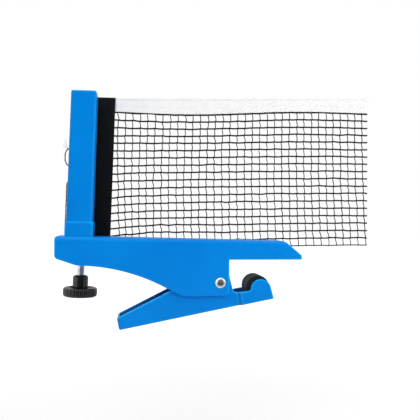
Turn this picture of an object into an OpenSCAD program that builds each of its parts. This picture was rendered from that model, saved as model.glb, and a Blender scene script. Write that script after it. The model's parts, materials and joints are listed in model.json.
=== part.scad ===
// Table tennis net clamp: a spring clamp that grips the edge of a table and carries a
// height-adjustable post, with the end of the net that hangs on the post.
//
// Millimetres. The origin is where the table's edge meets its top: the jaw's underside is z = 0,
// the stop face that meets the edge is x = 0, and y = 0 is mid depth. +X runs on to the table,
// +Y to the back and +Z up. The post and all that it carries lean by post_lean towards the table,
// so they are drawn in the mast frame: u along X, w up the post, from the bar's top.

/* [Bracket] */
// Depth of the bracket from front to back
clamp_depth = 34; // [33:0.5:40]
// Wall of the moulded shell
shell_wall = 3; // [2.5:0.1:3.5]
// Length of the upper jaw from the stop face to its tip
jaw_reach = 70; // [62:1:80]
// Height of the jaw's blunt tip
jaw_tip_h = 4; // [3.5:0.1:5]
// Slope of the jaw's nose
nose_slope = 40; // [36:1:46]
// Height of the bar's top over the table at the stop face
bar_rise = 18.6; // [17:0.1:20]
// Fall of the bar's top towards the table, in degrees
top_fall = 1.2; // [0.5:0.1:2]
// Reach of the bar from the stop face to its outer end
bar_reach = 161.7; // [161:0.1:170]
// Depth of the bar's belly below the table's top
belly_drop = 5; // [4.5:0.1:6]
// Depth of the pivot block below the table's top
block_drop = 34; // [33:0.5:38]
// Round along the bar's two long top edges
edge_round = 4.5; // [3:0.1:5]
// Radius of the arch under the bar
arch_r = 175; // [165:1:190]
// Height of the stop wall's lower edge below the table's top
stop_drop = 14; // [13.5:0.1:15]

/* [Lever] */
// Pivot's distance outboard of the stop face
pivot_back = 8.35; // [8:0.05:9]
// Pivot's depth below the table's top
pivot_drop = 21.8; // [21:0.1:22.5]
// Diameter of the pivot pin
pin_d = 6; // [5:0.1:6.4]
// Tilt of the lever at rest, in degrees
lever_tilt = 11; // [10.6:0.1:11.4]
// Length of the handle from the pivot to its end
handle_len = 101; // [90:0.2:106]
// Depth of the lever's sole below the pivot
sole_drop = 24.7; // [24.6:0.1:26]
// Wall of the lever
lever_wall = 2.5; // [2:0.1:2.8]
// Height of the handle's end
handle_end_h = 12; // [10:0.5:14]
// Slope of the handle's rim over the sole, in degrees
rim_slope = 15.8; // [14.5:0.1:16.2]

/* [Roller] */
// Diameter over the rubber tyre
roller_d = 22.5; // [21:0.1:22.8]
// Length of the roller
roller_len = 27; // [20:0.5:27]
// Thickness of the tyre
tyre_t = 3.4; // [2:0.1:4]
// Diameter of the roller's axle
axle_d = 5; // [4:0.1:6]
// Roller's centre ahead of the pivot, along the lever
roller_ahead = 34.8; // [34.4:0.1:35.4]
// Roller's centre below the pivot, square to the lever
roller_below = 11.7; // [11.5:0.1:12]

/* [Post] */
// Lean of the post towards the table, in degrees
post_lean = 1.7; // [0:0.1:2.5]
// Length of the bar outboard of the post's centre line
post_out = 21.15; // [20:0.05:24]
// Height of the post over the bar
post_h = 135.4; // [120:0.1:150]
// Width of the post at its foot
post_w = 23.7; // [22.8:0.1:23.9]
// Narrowing of the post from foot to top
post_taper = 0.6; // [0:0.1:1.5]
// Depth of the post from front to back
post_d = 24; // [22:0.5:25]
// Round down the post's two front edges
post_round = 3; // [2:0.1:4]
// Wall of the post
post_wall = 2.5; // [2:0.1:3]
// Height of the foot that stands out of the bar
foot_up = 13.2; // [12.5:0.1:15]
// Length of the foot inside the bar
foot_down = 12; // [10:0.1:12.2]
// Outer side of the foot, from the post's centre line
foot_out = 12.75; // [12.6:0.05:13]
// Inner side of the foot, from the post's centre line
foot_in = 12.75; // [12.6:0.05:13]

/* [Height screw] */
// Diameter of the height screw
screw_d = 7; // [6:0.1:7.2]
// Screw's axis from the post's centre line, towards the table
screw_in = 2.4; // [1.8:0.1:2.8]
// Width of the captive nut across its flats
nut_af = 11; // [10.5:0.1:11.4]
// Height of the captive nut
nut_h = 5; // [4:0.1:5.2]
// Free length of the screw between the bar and the knob
screw_free = 10.2; // [8:0.1:12]
// Diameter of the knob
knob_d = 31.5; // [28:0.5:36]
// Height of the knob's head
knob_h = 8.7; // [8:0.1:13]
// Diameter of the knob's hub
hub_d = 14.2; // [13:0.1:16]
// Height of the knob's hub
hub_h = 11.4; // [8:0.1:13]
// Flutes round the knob's rim
knob_flutes = 28; // [18:1:32]

/* [Net] */
// Distance of the net's plane behind mid depth
net_back = 20; // [19.6:0.1:22]
// Diameter of the rod in the net's sleeve
rod_d = 4; // [3:0.1:4.6]
// Inner edge of the sleeve, from the post's centre line
sleeve_edge = 27.8; // [24:0.1:32]
// Thickness of the sleeve's folded fabric
sleeve_t = 1.6; // [1.2:0.1:2]
// Spacing of the net's strings
mesh_pitch = 7.6; // [7.4:0.1:9]
// Width of one string
string_w = 1; // [0.8:0.1:1.4]
// Rows of strings
mesh_rows = 19; // [12:1:19]
// Columns of strings
mesh_cols = 34; // [4:1:34]
// Height of the net's lowest string over the bar's top, negative where it hangs below
mesh_foot = -14.5; // [-16:0.1:-8]
// Rise of the net's lowest string away from the post, in degrees
low_rise = 1.3; // [0:0.1:2]
// Rise of the top band away from the post, in degrees
top_rise = 1.4; // [0:0.1:2]
// Height of the top band
band_h = 13.2; // [12:0.1:15]
// Thickness of the top band
band_t = 1.4; // [1:0.1:2]
// Diameter of the tension cord
cord_d = 1.4; // [1:0.1:1.6]

/* [Hidden] */
$fn = 64;

// Colours
BLUE = "#0082DE";
STEEL = "#C4C7CA";
BRASS = "#B99A52";
BLACK = "#1B1B1D";
TREAD = "#4A4A4A";
WHITE = "#F2F2F0";

// Clearances
side_gap = 0.3;      // between a moving moulding and its neighbour, on each side
seat_gap = 0.02;     // radial, round a pin that sits tight
run_gap = 0.06;      // radial, round a pin that turns
over = 1;            // how far a cut runs past the face it opens

// Bracket
inner_w = clamp_depth - 2 * shell_wall;
function bar_top(x) = bar_rise - x * tan(top_fall);
nose_x = (jaw_tip_h + jaw_reach * tan(nose_slope) - bar_rise) / (tan(nose_slope) - tan(top_fall));
post_x = bar_reach - post_out;
kink_x = -post_x - 1;
end_slope = 18.9;
function belly(x) = -belly_drop + max(0, kink_x - x) * tan(end_slope);
arch_crown = 134.7;  // outboard of the pivot, so that a longer bar only gets more straight belly
arch_x = -pivot_back - arch_crown;
arch_from = asin(max(0, kink_x + 6 - arch_x) / arch_r);
arch_stop = 51.5;
arch_to = asin((-pivot_back - arch_stop - arch_x) / arch_r);
arch_end = [arch_x + arch_r * sin(arch_to), -belly_drop - arch_r * (1 - cos(arch_to))];
heel_slope = 26.5;
heel_x = arch_end[0] + (block_drop + arch_end[1]) / tan(heel_slope);
rib_t = 2;
rib_low = 3;
pin_out = 1.6;
jaw_cells = 4;
bay_wall = 3.3;
bay_out = -post_x + foot_in + side_gap + bay_wall;

// Lever, in its own frame: u along the sole, v square to it, from the pivot
lever_w = inner_w - 2 * side_gap;
fork_w = clamp_depth;
fork_from = 13.8;
fork_full = 17.4;
cheek_r = 9.75;
cheek = [roller_ahead + 2.1, -roller_below - 2.15];
fork_end = cheek[0] + cheek_r + 0.7;
floor_v = -sole_drop + lever_wall;
boss_r = 9.1;
boss_arc = [44, 104];
saddle_v = -12.9;
saddle_u = 10.9;
rim_lift = 25.5;
end_back = 3;
end_round = 3;
web_u = -15;
web_t = 2;
stop_web = [7.4, 9.9];
stop_web_v = 4.8;
floor_rib_h = 5;
root = 0.5;          // how far a rib runs into the wall it grows from
coil_r = 4.4;
wire_r = 0.85;
coil_pitch = 1.9;
coil_turns = 6;
spring_leg = 13;
axle_in = 1.8;

// Mast
bar_seat = bar_top(-post_x);
foot_d = lever_w;
post_front = -13;
post_back = post_front + post_d;
lift_down = 7;
boss_wall = 2.8;
boss_low = -bar_seat - belly_drop + 0.7 * shell_wall;
boss_top = -foot_down - lift_down - 0.4;
nut_top = boss_top - 0.25;
bore_top = 2;
clip_w = -8;
clip_t = 0.9;
clip_r = screw_d / 2 + 3;
groove_deep = 0.6;
rod_u = 5;
lug_r = rod_d / 2 + 1.2;
lug_h = 4.8;
pocket_r = rod_d / 2 + 1;
tab_u = rod_u + pocket_r + 2.8;
knob_top = -belly_drop - screw_free - bar_seat;
head_top = knob_top - hub_h;
screw_low = head_top - knob_h + 3;
mesh_h = (mesh_rows - 1) * mesh_pitch;
mesh_gather = 0.035;
first_col = 3.9;
last_stub = 3.2;
cord_y = -8;
cord_holes = [81.2, 65.5, 50.6];
cord_room = 1.3;
cord_u = -post_w / 2 - cord_d / 2 - 0.1;
post_rib_step = 23;
post_rib_d = 8;
foot_roof = 3;
channel_foot = 6;

// ---------------------------------------------------------------- shapes used throughout

// A round corner at b, between a and c, as points
function unit(v) = v / norm(v);
function corner(a, b, c, r) =
    let (
        p = unit(a - b),
        q = unit(c - b),
        half = acos(p * q) / 2,
        centre = b + unit(p + q) * r / sin(half),
        start = b + p * r / tan(half) - centre,
        stop = b + q * r / tan(half) - centre,
        a0 = atan2(start[1], start[0]),
        turn = atan2(stop[1], stop[0]) - a0,
        sweep = turn > 180 ? turn - 360 : turn < -180 ? turn + 360 : turn,
        n = max(2, ceil(abs(sweep) / 9))
    )
    [for (i = [0:n]) centre + r * [cos(a0 + sweep * i / n), sin(a0 + sweep * i / n)]];

// An outline from [x, y, corner radius] points
function xy(p) = [p[0], p[1]];
function rounded(pts) =
    [for (i = [0:len(pts) - 1])
        let (n = len(pts), a = pts[(i + n - 1) % n], b = pts[i], c = pts[(i + 1) % n])
        each b[2] == 0 ? [xy(b)] : corner(xy(a), xy(b), xy(c), b[2])];

// Points of an arc, from a0 to a1 in n steps
function arc(centre, r, a0, a1, n) =
    [for (i = [0:n]) centre + r * [cos(a0 + (a1 - a0) * i / n), sin(a0 + (a1 - a0) * i / n)]];

// A flat XZ outline made w deep, evenly about mid depth
module across(w) {
    rotate([90, 0, 0]) linear_extrude(w, center = true) children();
}

// A cylinder along Y, from y0 to y1
module bar_y(r, y0, y1) {
    translate([0, y0, 0]) rotate([-90, 0, 0]) cylinder(r = r, h = y1 - y0);
}

// A revolved profile of [radius, height] points, turned to lie along Y
module spun_y(points) {
    rotate([-90, 0, 0]) rotate_extrude() polygon(points);
}

// Rise of a level line over the mast's own square, u from its axis
function level(u) = u * tan(post_lean);

// Frames
module at_pivot() { translate([-pivot_back, 0, -pivot_drop]) children(); }
module on_lever() { at_pivot() rotate([0, -lever_tilt, 0]) children(); }
module on_roller() { on_lever() translate([roller_ahead, 0, -roller_below]) children(); }
module mast() { translate([-post_x, 0, bar_seat]) rotate([0, post_lean, 0]) children(); }
module on_screw() { mast() translate([screw_in, 0, 0]) children(); }

// A round wire through a list of centre points, as one closed tube with square ends
function along(path, i) =
    unit(path[min(i + 1, len(path) - 1)] - path[max(i - 1, 0)]);
module wire(path, r, sides) {
    rings = [for (i = [0:len(path) - 1])
        let (
            t = along(path, i),
            side = unit(cross(t, abs(t[1]) > 0.9 ? [1, 0, 0] : [0, 1, 0])),
            up = cross(side, t)
        )
        each [for (k = [0:sides - 1])
            path[i] + r * (side * cos(360 * k / sides) + up * sin(360 * k / sides))]];
    last = len(path) - 1;
    polyhedron(
        rings,
        concat(
            [[for (k = [0:sides - 1]) k]],
            [[for (k = [sides - 1:-1:0]) last * sides + k]],
            [for (i = [0:last - 1], k = [0:sides - 1])
                let (a = i * sides + k, b = i * sides + (k + 1) % sides)
                [a, a + sides, b + sides, b]]
        )
    );
}

// A smooth path through hand-set points, with n steps between each two
function smooth(p, n) =
    concat(
        [for (i = [0:len(p) - 2], s = [0:n - 1])
            let (
                t = s / n,
                a = p[max(i - 1, 0)],
                b = p[i],
                c = p[i + 1],
                d = p[min(i + 2, len(p) - 1)]
            )
            0.5 * (2 * b + (c - a) * t + (2 * a - 5 * b + 4 * c - d) * t * t
                + (3 * b - a - 3 * c + d) * t * t * t)],
        [p[len(p) - 1]]
    );

// ---------------------------------------------------------------- bracket

// Side outline: jaw, bar, belly, arch and pivot block
module bracket_outline() {
    polygon(rounded(concat(
        [
            [0, 0, 0],
            [jaw_reach, 0, 0.8],
            [jaw_reach, jaw_tip_h, 1],
            [nose_x, bar_top(nose_x), 8],
            [-bar_reach, bar_top(-bar_reach), 2.5],
            [-bar_reach, belly(-bar_reach), 4],
            [kink_x, -belly_drop, 10],
        ],
        [for (p = arc([arch_x, -belly_drop - arch_r], arch_r, 90 - arch_from, 90 - arch_to, 12))
            [p[0], p[1], 0]],
        [
            [heel_x, -block_drop, 9],
            [0, -block_drop, 4.5],
        ]
    )));
}

// A long bar with its two top edges rounded, whose top follows the bracket's
module round_topped() {
    length = bar_reach + jaw_reach + 60;
    depth = bar_rise + block_drop + 40;
    translate([0, 0, bar_rise]) rotate([0, top_fall, 0])
        translate([-bar_reach - 30, 0, 0]) rotate([90, 0, 90]) linear_extrude(length) {
            translate([-clamp_depth / 2, -depth]) square([clamp_depth, depth - edge_round]);
            translate([-clamp_depth / 2 + edge_round, -depth])
                square([clamp_depth - 2 * edge_round, depth]);
            for (side = [-1, 1])
                translate([side * (clamp_depth / 2 - edge_round), -edge_round]) circle(edge_round);
        }
}

// The hollow over the lever, open below
module lever_bay() {
    across(inner_w) polygon([
        [-shell_wall, -block_drop - over],
        [-shell_wall, bar_top(-shell_wall) - shell_wall],
        [bay_out, bar_top(bay_out) - shell_wall],
        [bay_out, -block_drop - over],
    ]);
    // the way out to the fork, below the stop wall
    across(inner_w) polygon([
        [-shell_wall - over, -block_drop - over],
        [-shell_wall - over, -stop_drop],
        [over, -stop_drop],
        [over, -block_drop - over],
    ]);
}

// Cells cored out of the jaw from below, between cross ribs and one long rib
module jaw_cores() {
    inset = shell_wall / sin(nose_slope);
    far = jaw_reach - shell_wall - 1;
    nose = nose_x - inset;
    difference() {
        across(inner_w) polygon([
            [rib_t, -over],
            [far, -over],
            [far, max(1, jaw_tip_h + (jaw_reach - far) * tan(nose_slope) - shell_wall / cos(nose_slope))],
            [nose, bar_top(nose) - shell_wall],
            [rib_t, bar_top(rib_t) - shell_wall],
        ]);
        for (i = [1:jaw_cells - 1])
            translate([rib_t + (far - rib_t) * i / jaw_cells, 0, 0])
                cube([rib_t, clamp_depth, 3 * bar_rise], center = true);
        translate([jaw_reach / 2, 0, 0])
            cube([jaw_reach, rib_t, 3 * bar_rise], center = true);
    }
}

// The post's well in the bar, down to a floor that follows the belly
module post_well() {
    low = -bar_seat - belly_drop;
    intersection() {
        mast() across(inner_w) polygon([
            [-foot_out - side_gap, foot_up],
            [foot_in + side_gap, foot_up],
            [foot_in + side_gap, low],
            [-foot_out - side_gap, low],
        ]);
        across(clamp_depth) polygon([
            [-bar_reach, 2 * bar_seat],
            [-bar_reach, belly(-bar_reach) + shell_wall],
            [kink_x, belly(kink_x) + shell_wall],
            [0, belly(0) + shell_wall],
            [0, 2 * bar_seat],
        ]);
    }
}

module bracket() {
    color(BLUE) difference() {
        union() {
            difference() {
                intersection() {
                    across(clamp_depth) bracket_outline();
                    round_topped();
                }
                lever_bay();
                jaw_cores();
                post_well();
            }
            // cross ribs under the bar's top
            for (i = [1:3])
                let (x = -shell_wall + (bay_out + shell_wall) * i / 4)
                across(inner_w + 1) polygon([
                    [x, rib_low],
                    [x + rib_t, rib_low],
                    [x + rib_t, bar_top(x + rib_t) - shell_wall + 0.5],
                    [x, bar_top(x) - shell_wall + 0.5],
                ]);
            // boss for the captive nut
            on_screw() translate([0, 0, boss_low])
                cylinder(r = nut_af / 2 + boss_wall, h = boss_top - boss_low);
        }
        on_screw() {
            translate([0, 0, nut_top - nut_h - 0.05])
                cylinder(r = (nut_af / 2 + 0.05) / cos(30), h = nut_h + over, $fn = 6);
            translate([0, 0, -bar_seat - belly_drop - 3 * over])
                cylinder(r = screw_d / 2 + side_gap, h = bar_seat + belly_drop + nut_top);
        }
        at_pivot() bar_y(pin_d / 2 + seat_gap, -clamp_depth, clamp_depth);
    }
}

module screw_nut() {
    color(BRASS) on_screw() translate([0, 0, nut_top - nut_h]) difference() {
        cylinder(r = nut_af / 2 / cos(30), h = nut_h, $fn = 6);
        translate([0, 0, -over]) cylinder(r = screw_d / 2 + run_gap, h = nut_h + 2 * over);
    }
}

// Domed head as [radius, height] points, from the centre out
function dome(r, h, n = 8) =
    let (big = (r * r + h * h) / (2 * h), half = asin(r / big))
    [for (i = [0:n]) [big * sin(half * i / n), h - big * (1 - cos(half * i / n))]];

module pivot_pin() {
    head_r = 4.9;
    head_h = 1.7;
    color(STEEL) at_pivot() {
        bar_y(pin_d / 2, -clamp_depth / 2, clamp_depth / 2 + pin_out);
        translate([0, -clamp_depth / 2, 0]) mirror([0, 1, 0]) rotate([-90, 0, 0])
            rotate_extrude() polygon(concat(dome(head_r, head_h), [[0, 0]]));
    }
}

module pin_cap() {
    cap_r = 5.2;
    cap_h = 2.8;
    bore = pin_d / 2 + seat_gap;
    color(STEEL) at_pivot() translate([0, clamp_depth / 2, 0]) spun_y([
        [bore, 0],
        [cap_r, 0],
        [cap_r, 0.7],
        [cap_r - 1, 1.2],
        [cap_r - 1.2, cap_h - 0.6],
        [cap_r - 1.8, cap_h],
        [0, cap_h],
        [0, pin_out + 0.1],
        [bore, pin_out + 0.1],
    ]);
}

// Spring round the pin: one leg up the stop wall, one along the lever to its web
module torsion_spring() {
    sweep = 90 - lever_tilt + 360 * coil_turns;
    steps = coil_turns * 14 + 3;
    width = coil_pitch * sweep / 360;
    coil = [for (i = [0:steps])
        let (a = -sweep * i / steps)
        [coil_r * cos(a), -width / 2 + width * i / steps, coil_r * sin(a)]];
    end = coil[steps];
    back = [-cos(lever_tilt), 0, -sin(lever_tilt)];
    color(STEEL) at_pivot() wire(
        concat(
            [[coil_r, -width / 2, spring_leg], [coil_r, -width / 2, 0.4 * spring_leg]],
            coil,
            [end + 0.6 * spring_leg * back, end + 1.3 * spring_leg * back]
        ),
        wire_r, 6
    );
}

// ---------------------------------------------------------------- lever and roller

// Side outline of the lever, in its own frame
module lever_outline() {
    stop_v = pivot_drop - stop_drop - side_gap;
    stop_a = [pivot_back - 2.5, stop_v];
    stop_b = [pivot_back + 0.25, stop_v];
    function turned(p) = [
        p[0] * cos(lever_tilt) + p[1] * sin(lever_tilt),
        -p[0] * sin(lever_tilt) + p[1] * cos(lever_tilt),
    ];
    a = turned(stop_a);
    b = turned(stop_b);
    end_top = -sole_drop + handle_end_h;
    hip = [-rim_lift, end_top + (handle_len - rim_lift - end_back) * tan(rim_slope)];
    arc_stop = 164;
    inner = cheek + cheek_r * [cos(arc_stop), sin(arc_stop)];
    saddle_mid = [fork_full + 2, saddle_v];
    polygon(concat(
        corner([-handle_len, 0], [-handle_len, -sole_drop], [0, -sole_drop], 1.5),
        corner([0, -sole_drop], [fork_end, -sole_drop], cheek + [cheek_r, 0], 0.8),
        arc(cheek, cheek_r, 4, arc_stop, 20),
        corner(inner, [inner[0] - 0.5, saddle_v], saddle_mid, 1.5),
        corner(saddle_mid, [saddle_u, saddle_v + 0.6], [saddle_u - 0.6, 0], 4.5),
        [b, a],
        arc([0, 0], boss_r, boss_arc[0], boss_arc[1], 8),
        corner([0, boss_r], hip, [-handle_len + end_back, end_top], 14),
        corner(hip, [-handle_len, end_top - 0.8], [-handle_len, -sole_drop], 2.5)
    ));
}

// Plan outline of the lever: the handle slips between the bracket's cheeks, the fork steps out
module lever_plan(inset) {
    narrow = lever_w / 2 - inset;
    wide = inset > 0 ? inner_w / 2 : fork_w / 2;
    shift = inset > 0 ? 1 : 0;
    near = -handle_len + inset;
    far = fork_end + over;
    polygon(rounded([
        [near, -narrow, end_round - inset],
        [fork_from + shift, -narrow, 0],
        [fork_full + shift, -wide, 0],
        [far, -wide, 0],
        [far, wide, 0],
        [fork_full + shift, wide, 0],
        [fork_from + shift, narrow, 0],
        [near, narrow, end_round - inset],
    ]));
}

module lever() {
    window = roller_ahead - roller_d / 2 - 1.4;
    inner = lever_w - 2 * lever_wall;
    color(BLUE) on_lever() difference() {
        union() {
            difference() {
                intersection() {
                    across(fork_w) lever_outline();
                    translate([0, 0, -sole_drop - over]) linear_extrude(3 * sole_drop) lever_plan(0);
                }
                translate([0, 0, floor_v]) linear_extrude(3 * sole_drop) lever_plan(lever_wall);
                // window under the roller
                translate([window, -inner_w / 2, -sole_drop - over])
                    cube([fork_end, inner_w, 2 * sole_drop]);
            }
            // stop web under the bracket's stop wall
            across(inner + 2 * root) polygon([
                [stop_web[0], floor_v - root],
                [stop_web[1], floor_v - root],
                [stop_web[1], stop_web_v - 0.6],
                [stop_web[0], stop_web_v],
            ]);
            // web that takes the spring's leg
            across(inner + 2 * root) polygon([
                [web_u, floor_v - root],
                [web_u + web_t, floor_v - root],
                [web_u + web_t, -coil_r - wire_r - 0.1],
                [web_u, -coil_r - wire_r - 0.1],
            ]);
            // low ribs across the handle's floor
            for (i = [1:3])
                translate([web_u - i * (handle_len + web_u) / 4, -inner / 2 - root, floor_v - root])
                    cube([rib_t, inner + 2 * root, floor_rib_h + root]);
        }
        bar_y(pin_d / 2 + run_gap, -clamp_depth, clamp_depth);
        translate([roller_ahead, 0, -roller_below])
            bar_y(axle_d / 2 + seat_gap, -inner_w / 2 - axle_in - 0.05, inner_w / 2 + axle_in + 0.05);
    }
}

module roller_axle() {
    color(STEEL) on_roller() bar_y(axle_d / 2, -inner_w / 2 - axle_in, inner_w / 2 + axle_in);
}

module roller_core() {
    half = roller_len / 2;
    rim = roller_d / 2 - tyre_t - seat_gap;
    bore = axle_d / 2 + run_gap;
    hub = bore + 2.2;
    ring = rim - 1.8;
    deep = half - 4;
    color(BLACK) on_roller() spun_y([
        [bore, -half],
        [hub, -half],
        [hub, -deep],
        [ring, -deep],
        [ring, -half],
        [rim, -half],
        [rim, half],
        [ring, half],
        [ring, deep],
        [hub, deep],
        [hub, half],
        [bore, half],
    ]);
}

module roller_tyre() {
    half = roller_len / 2;
    outer = roller_d / 2;
    inner = outer - tyre_t;
    edge = 0.8;
    color(TREAD) on_roller() spun_y([
        [inner, -half],
        [outer - edge, -half],
        [outer, -half + edge],
        [outer, half - edge],
        [outer - edge, half],
        [inner, half],
    ]);
}

// ---------------------------------------------------------------- post and what it carries

// Front outline of the post over its foot, inset on every side but the foot's, with a level top
module post_front_outline(inset) {
    low = inset > 0 ? channel_foot : foot_up - 1;
    half = post_w / 2 - inset;
    top = half - post_taper / 2;
    tip_r = inset > 0 ? 0 : 1;
    polygon(rounded([
        [-half, low, 0],
        [half, low, 0],
        [top, post_h + level(top) - inset, tip_r],
        [-top, post_h - level(top) - inset, tip_r],
    ]));
}

// Plan outline of the post over its foot, open at the back where it is inset
module post_plan(inset) {
    half = post_w / 2 - inset;
    front = post_front + inset;
    back = post_back + (inset > 0 ? over : 0);
    polygon(rounded([
        [-half, back, 0],
        [-half, front, max(0, post_round - inset)],
        [half, front, max(0, post_round - inset)],
        [half, back, 0],
    ]));
}

// A lug on the post's back that holds the sleeve's rod
module rod_lug(w, from_y) {
    translate([rod_u, 0, w]) linear_extrude(lug_h) {
        translate([-lug_r, from_y]) square([2 * lug_r, net_back - from_y]);
        translate([0, net_back]) circle(lug_r);
    }
}

module post() {
    lug_low = foot_up - lug_h;
    lug_top = post_h - lug_h - 0.6;
    mid_y = (post_front + post_back) / 2;
    clip_slot = clip_t + 0.3;
    color(BLUE) mast() difference() {
        union() {
            // the open-backed channel
            difference() {
                intersection() {
                    translate([0, mid_y, 0]) across(post_d) post_front_outline(0);
                    linear_extrude(post_h + 2 * over) post_plan(0);
                }
                intersection() {
                    translate([0, mid_y + post_wall, 0]) across(post_d) post_front_outline(post_wall);
                    linear_extrude(post_h + 2 * over) post_plan(post_wall);
                }
            }
            // ribs across the channel
            for (w = [post_rib_step:post_rib_step:post_h - 15])
                translate([-post_w / 2 + post_wall - root, post_front + post_wall - root, w])
                    cube([post_w - 2 * post_wall + 2 * root, post_rib_d, rib_t]);
            // the foot, cored out from below
            difference() {
                translate([-foot_out, -foot_d / 2, -foot_down])
                    cube([foot_out + foot_in, foot_d, foot_down + foot_up]);
                translate([-foot_out + post_wall, -foot_d / 2 + post_wall, -foot_down - over])
                    cube([
                        foot_out + foot_in - 2 * post_wall,
                        foot_d - 2 * post_wall,
                        foot_down + over + foot_roof,
                    ]);
                translate([-post_w / 2 + post_wall, -foot_d / 2 + post_wall, channel_foot])
                    cube([post_w - 2 * post_wall, foot_d - 2 * post_wall, foot_up]);
            }
            // boss for the screw's tip, tied to the foot's walls by ribs
            translate([screw_in, 0, -foot_down])
                cylinder(r = screw_d / 2 + boss_wall, h = foot_down + foot_roof + 1);
            translate([screw_in - rib_t / 2, -foot_d / 2 + 1, -foot_down + 2])
                cube([rib_t, foot_d - 2, foot_down + 2]);
            translate([-foot_out + 1, -rib_t / 2, -foot_down + 2])
                cube([foot_out + foot_in - 2, rib_t, foot_down + 2]);
            rod_lug(lug_low, 0);
            rod_lug(lug_top, post_back - 1);
        }
        // bore for the screw's tip and the slot for its clip
        translate([screw_in, 0, -foot_down - over])
            cylinder(r = screw_d / 2 + run_gap, h = foot_down + over + bore_top);
        translate([screw_in - clip_r - side_gap, -clip_r - side_gap, clip_w - 0.15])
            cube([2 * (clip_r + side_gap), foot_d, clip_slot]);
        // inside of the foot behind the lower lug
        translate([-post_w / 2 + post_wall, -foot_d / 2 + post_wall, channel_foot])
            cube([post_w - 2 * post_wall, foot_d - 2 * post_wall, foot_up - channel_foot + 0.01]);
        // rod's seats
        translate([rod_u, net_back, foot_up - 4])
            cylinder(r = rod_d / 2 + seat_gap, h = post_h);
        // holes for the tension cord in the outer wall
        for (w = cord_holes)
            translate([-post_w / 2 - over, cord_y, w]) rotate([0, 90, 0])
                cylinder(r = cord_d / 2 + cord_room, h = post_wall + 2 * over);
    }
}

// Retaining clip in the screw's groove
module screw_clip() {
    groove_r = screw_d / 2 - groove_deep;
    color(STEEL) on_screw() translate([0, 0, clip_w]) linear_extrude(clip_t) difference() {
        circle(clip_r);
        circle(groove_r + run_gap);
        translate([-groove_r * 0.8, 0]) square([groove_r * 1.6, clip_r + over]);
    }
}

module net_rod() {
    color(STEEL) mast() translate([rod_u, net_back, foot_up - 3.9])
        cylinder(r = rod_d / 2, h = post_h - foot_up + 3);
}

// The net's edge sleeve: a pocket on the rod and a flat folded web
module net_sleeve() {
    low = foot_up + side_gap;
    high = post_h - lug_h - 0.6 - side_gap;
    web = sleeve_edge - rod_u;
    color(BLACK) mast() translate([0, net_back, 0]) {
        translate([rod_u, 0, low]) linear_extrude(high - low) difference() {
            union() {
                circle(pocket_r);
                translate([0, -sleeve_t / 2]) square([web, sleeve_t]);
            }
            circle(pocket_r - 0.7);
        }
        across(sleeve_t) polygon([
            [tab_u, high],
            [sleeve_edge, high],
            [sleeve_edge, post_h + level(sleeve_edge)],
            [tab_u, post_h + level(tab_u)],
        ]);
        translate([tab_u, -sleeve_t / 2, mesh_foot - 1])
            cube([sleeve_edge - tab_u, sleeve_t, low - mesh_foot + 1]);
    }
}

// Height of row i at the sleeve, and its direction in the mast frame; row 0 is the lowest
function row_w(i) = mesh_foot + i * mesh_pitch;
function row_turn(i) = post_lean + low_rise + (top_rise - low_rise) * i / (mesh_rows - 1);
function on_row(i, s) = [sleeve_edge, row_w(i)] + s * [cos(row_turn(i)), sin(row_turn(i))];
function col_s(i, j) =
    first_col + j * mesh_pitch * (1 + mesh_gather * (0.5 - i / (mesh_rows - 1)));
function row_len(i) = col_s(0, mesh_cols - 1) + last_stub - level(i * mesh_pitch);
function knot(i, j, side) = on_row(i, col_s(i, j)) + [side * string_w / 2, 0];

// Net: the rows of string, with short ends at the sleeve and at the far edge, lie on the front
// of the columns and are bonded to them where they cross
module net_mesh() {
    rows = mesh_rows - 1;
    cols = mesh_cols - 1;
    hw = string_w / 2;
    color(BLACK) mast() {
        translate([0, net_back - hw / 2, 0]) across(hw) for (i = [0:rows]) polygon([
            [sleeve_edge, row_w(i) - hw],
            on_row(i, row_len(i)) - [0, hw],
            on_row(i, row_len(i)) + [0, hw],
            [sleeve_edge, row_w(i) + hw],
        ]);
        translate([0, net_back + hw / 2, 0]) across(hw) for (j = [0:cols]) polygon([
            knot(0, j, -1),
            knot(0, j, 1),
            knot(rows, j, 1),
            knot(rows, j, -1),
        ]);
    }
}

// White band along the net's top string
module top_band() {
    rows = mesh_rows - 1;
    low = row_w(rows) + string_w / 2;
    reach = row_len(rows) * [cos(row_turn(rows)), sin(row_turn(rows))];
    spread = row_len(rows) * sin(0.3);
    color(WHITE) mast() translate([0, net_back, 0]) across(band_t) polygon([
        [sleeve_edge, low],
        [sleeve_edge + reach[0], low + reach[1]],
        [sleeve_edge + reach[0], low + reach[1] + band_h + spread],
        [sleeve_edge, low + band_h],
    ]);
}

// The cord from the band's end: into the channel, out in a loop and down the outer wall
cord_route = [
    [rod_u - pocket_r - 0.05, net_back, 122],
    [-1, net_back - 0.3, 121.6],
    [-5, net_back - 6, 118],
    [-6.5, 7, 112],
    [-6.8, 2, 104],
    [-6.8, 1, 97],
    [-7, -2, 90],
    [-7.2, cord_y + 1.5, 83.4],
    [cord_u + 2.9, cord_y, cord_holes[0] + 0.3],
    [cord_u - 0.1, cord_y, cord_holes[0] - 0.4],
    [cord_u - 2.2, cord_y, 77.5],
    [cord_u - 2.6, cord_y, 73.4],
    [cord_u - 2.1, cord_y, 69.2],
    [cord_u - 0.1, cord_y, cord_holes[1] + 0.5],
    [cord_u + 2.9, cord_y, cord_holes[1] - 0.2],
    [cord_u + 4.8, cord_y + 0.6, 62.6],
    [cord_u + 5.3, cord_y + 1, 58],
    [cord_u + 4.8, cord_y + 0.6, 53.6],
    [cord_u + 2.9, cord_y, cord_holes[2] + 0.4],
    [cord_u + 0.2, cord_y, 49],
    [cord_u - 0.05, cord_y, 44],
    [cord_u, cord_y, 36],
    [cord_u - 0.1, cord_y, 26],
    [cord_u, cord_y, foot_up + 0.05],
];

module tension_cord() {
    color(BLACK) mast() wire(smooth(cord_route, 2), cord_d / 2, 8);
}

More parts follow.
